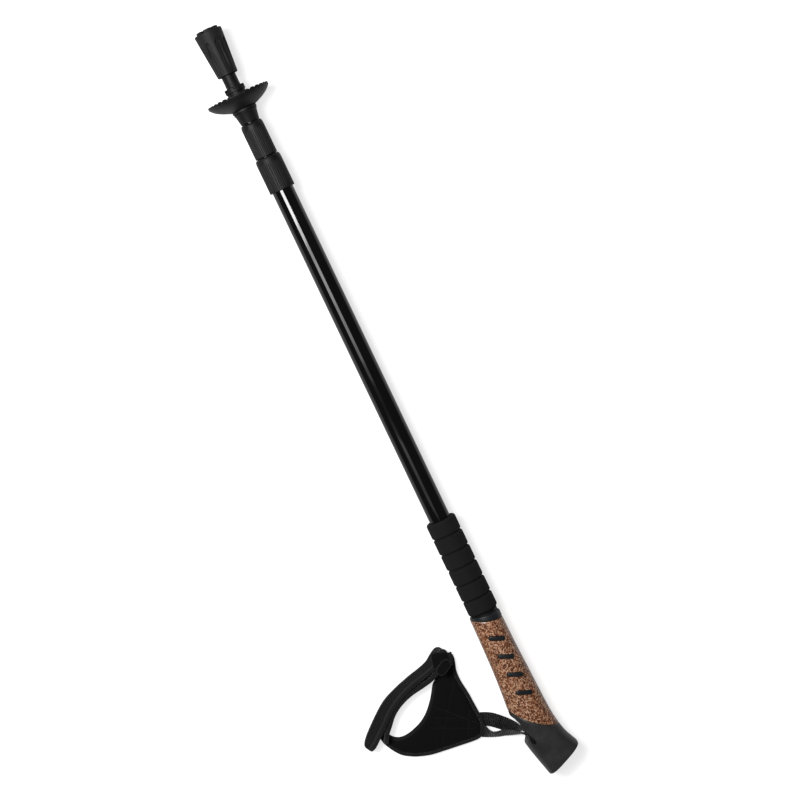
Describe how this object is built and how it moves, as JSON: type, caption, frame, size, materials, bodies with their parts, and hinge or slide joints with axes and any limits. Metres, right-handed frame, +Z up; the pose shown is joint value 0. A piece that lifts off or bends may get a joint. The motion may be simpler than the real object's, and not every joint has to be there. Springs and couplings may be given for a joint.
{
  "type": "telescopic walking stick",
  "caption": "Telescopic walking pole, collapsed and lying flat, with a cork and foam grip, a slanted end cap, a hand strap with a palm patch, a small basket and a rubber foot.",
  "frame": {"origin": "middle of the lowest plane of the pole as it lies, halfway along its length and width", "axes": "+X runs along the pole from the rubber foot to the cap, +Y points away from the hand strap, +Z is up"},
  "size_m": [0.6744, 0.1646, 0.0529],
  "materials": {
    "gloss_black": "gloss black paint on aluminium tube",
    "black_plastic": "satin moulded plastic",
    "steel": "plain turned steel",
    "brass": "plain turned brass",
    "black_rubber": "matte moulded rubber",
    "slate_rubber": "satin moulded rubber",
    "foam": "matte closed-cell foam",
    "cork": "ground and sealed agglomerated cork",
    "webbing": "ribbed woven webbing",
    "padded_fabric": "foam-backed knitted fabric",
    "binding": "folded binding tape"
  },
  "bodies": {
    "upper_section": {"upper_tube": "gloss_black", "upper_sleeve": "black_plastic", "foam_grip": "foam", "grip_collar": "slate_rubber", "cork_grip": "cork", "grip_core": "black_plastic", "front_inlay_1": "slate_rubber", "front_inlay_2": "slate_rubber", "front_inlay_3": "slate_rubber", "front_inlay_4": "slate_rubber", "back_inlay_1": "slate_rubber", "back_inlay_2": "slate_rubber", "back_inlay_3": "slate_rubber", "back_inlay_4": "slate_rubber", "top_cap": "black_plastic", "strap_pin": "steel"},
    "middle_lock": {"middle_expander": "black_plastic"},
    "middle_wedge": {"middle_cone_nut": "brass"},
    "middle_section": {"middle_tube": "gloss_black", "middle_plug": "black_plastic", "middle_stud": "steel", "lower_sleeve": "black_plastic"},
    "lower_lock": {"lower_expander": "black_plastic"},
    "lower_wedge": {"lower_cone_nut": "brass"},
    "lower_section": {"lower_tube": "gloss_black", "lower_plug": "black_plastic", "lower_stud": "steel", "tip_holder": "black_plastic", "steel_point": "steel"},
    "basket": {"basket": "black_plastic"},
    "rubber_foot": {"rubber_foot": "black_rubber", "foot_washer": "steel"},
    "strap": {"strap_webbing": "webbing", "webbing_anchor": "webbing", "palm_patch": "padded_fabric", "patch_binding": "binding", "wrist_strap": "padded_fabric", "hook_panel": "binding", "strap_keeper": "padded_fabric", "closure_tab": "binding"}
  },
  "joints": [
    {"name": "middle_extend", "type": "slide", "parent": "upper_section", "child": "middle_lock", "axis": [-0.9998, 0, 0.0202], "range_m": [0, 0.34]},
    {"name": "middle_twist", "type": "hinge", "parent": "middle_lock", "child": "middle_section", "pos_m": [-0.33491, 0.05585, 0.02762], "axis": [-0.9998, 0, 0.0202], "range_deg": [0, 360]},
    {"name": "middle_wedge_travel", "type": "slide", "parent": "middle_lock", "child": "middle_wedge", "axis": [-0.9998, 0, 0.0202], "range_m": [0, 0.0013]},
    {"name": "lower_extend", "type": "slide", "parent": "middle_section", "child": "lower_lock", "axis": [-0.9998, 0, 0.0202], "range_m": [0, 0.34]},
    {"name": "lower_twist", "type": "hinge", "parent": "lower_lock", "child": "lower_section", "pos_m": [-0.33491, 0.05585, 0.02762], "axis": [-0.9998, 0, 0.0202], "range_deg": [0, 360]},
    {"name": "lower_wedge_travel", "type": "slide", "parent": "lower_lock", "child": "lower_wedge", "axis": [-0.9998, 0, 0.0202], "range_m": [0, 0.0013]},
    {"name": "basket_removal", "type": "slide", "parent": "lower_section", "child": "basket", "axis": [-0.9998, 0, 0.0202], "range_m": [0, 0.0095]},
    {"name": "foot_removal", "type": "slide", "parent": "lower_section", "child": "rubber_foot", "axis": [-0.9998, 0, 0.0202], "range_m": [0, 0.045]},
    {"name": "strap_swing", "type": "hinge", "parent": "upper_section", "child": "strap", "pos_m": [0.30058, 0.04485, 0], "axis": [0, 0, 1], "range_deg": [-12, 70], "deforming": ["strap_webbing"]}
  ],
  "couplings": [
    {"joint": "middle_wedge_travel", "follows": "middle_twist", "m_per_rad": 0.00019894},
    {"joint": "lower_wedge_travel", "follows": "lower_twist", "m_per_rad": 0.00019894}
  ]
}
